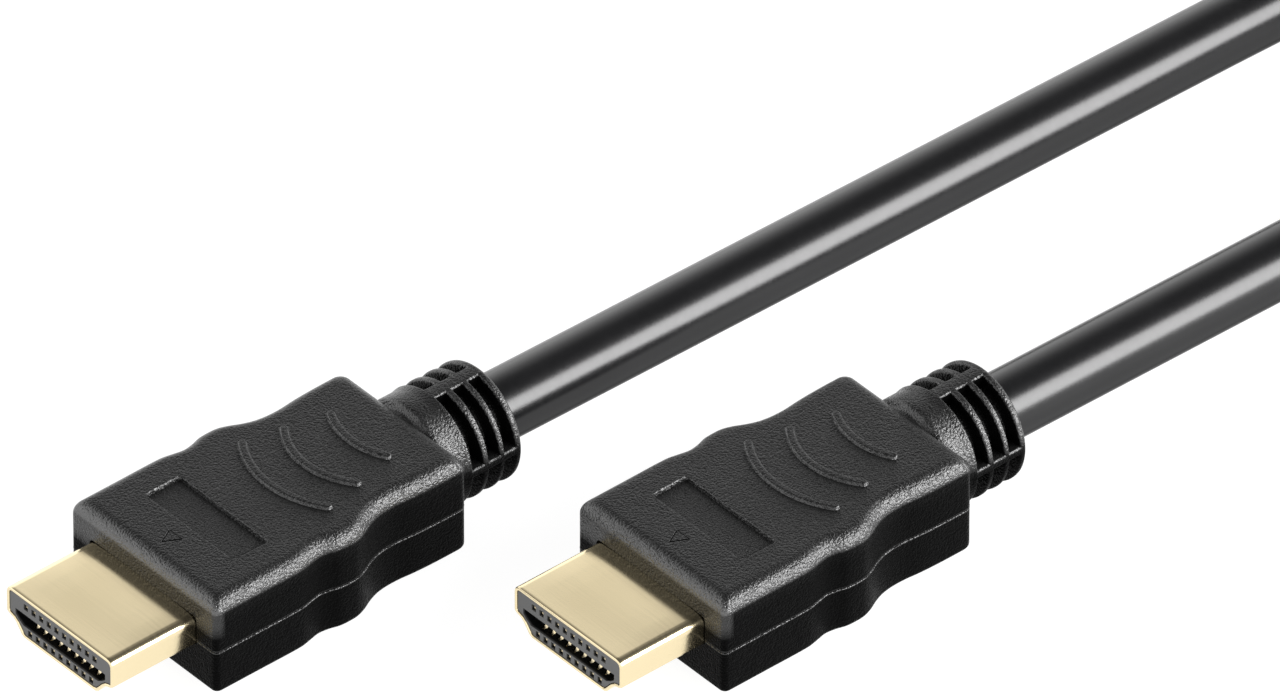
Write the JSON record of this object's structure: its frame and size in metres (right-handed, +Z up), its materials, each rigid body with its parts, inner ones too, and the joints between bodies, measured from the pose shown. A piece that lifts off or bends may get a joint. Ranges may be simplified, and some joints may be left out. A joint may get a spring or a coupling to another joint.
{
  "type": "hdmi cable",
  "caption": "Flexible audio and video cable with a flat metal-shelled plug, moulded grip and slotted strain relief on each end, its spare length in a tied hank.",
  "frame": {"origin": "centre of the two plugs' bounding box, on the surface that they lie on", "axes": "+X from the plugs' tips towards the cord, +Z up, +Y towards plug A"},
  "size_m": [0.2706, 0.0582, 0.0154],
  "materials": {
    "plated_shell": "satin",
    "contact_carrier": "satin",
    "contacts": "polished",
    "moulded_grip": "fine spark-eroded grain",
    "cord_jacket": "smooth gloss",
    "tie_webbing": "matt hook-and-loop webbing"
  },
  "bodies": {
    "root": {"plug_a_shell": "plated_shell", "plug_a_insulator": "contact_carrier", "plug_a_overmould": "moulded_grip", "plug_a_contact_upper_01": "contacts", "plug_a_contact_upper_02": "contacts", "plug_a_contact_upper_03": "contacts", "plug_a_contact_upper_04": "contacts", "plug_a_contact_upper_05": "contacts", "plug_a_contact_upper_06": "contacts", "plug_a_contact_upper_07": "contacts", "plug_a_contact_upper_08": "contacts", "plug_a_contact_upper_09": "contacts", "plug_a_contact_upper_10": "contacts", "plug_a_contact_lower_01": "contacts", "plug_a_contact_lower_02": "contacts", "plug_a_contact_lower_03": "contacts", "plug_a_contact_lower_04": "contacts", "plug_a_contact_lower_05": "contacts", "plug_a_contact_lower_06": "contacts", "plug_a_contact_lower_07": "contacts", "plug_a_contact_lower_08": "contacts", "plug_a_contact_lower_09": "contacts", "plug_b_shell": "plated_shell", "plug_b_insulator": "contact_carrier", "plug_b_overmould": "moulded_grip", "plug_b_contact_upper_01": "contacts", "plug_b_contact_upper_02": "contacts", "plug_b_contact_upper_03": "contacts", "plug_b_contact_upper_04": "contacts", "plug_b_contact_upper_05": "contacts", "plug_b_contact_upper_06": "contacts", "plug_b_contact_upper_07": "contacts", "plug_b_contact_upper_08": "contacts", "plug_b_contact_upper_09": "contacts", "plug_b_contact_upper_10": "contacts", "plug_b_contact_lower_01": "contacts", "plug_b_contact_lower_02": "contacts", "plug_b_contact_lower_03": "contacts", "plug_b_contact_lower_04": "contacts", "plug_b_contact_lower_05": "contacts", "plug_b_contact_lower_06": "contacts", "plug_b_contact_lower_07": "contacts", "plug_b_contact_lower_08": "contacts", "plug_b_contact_lower_09": "contacts", "cord_lead_a": "cord_jacket", "cord_lead_b": "cord_jacket", "cord_coil": "cord_jacket", "cord_tie": "tie_webbing"}
  },
  "joints": []
}
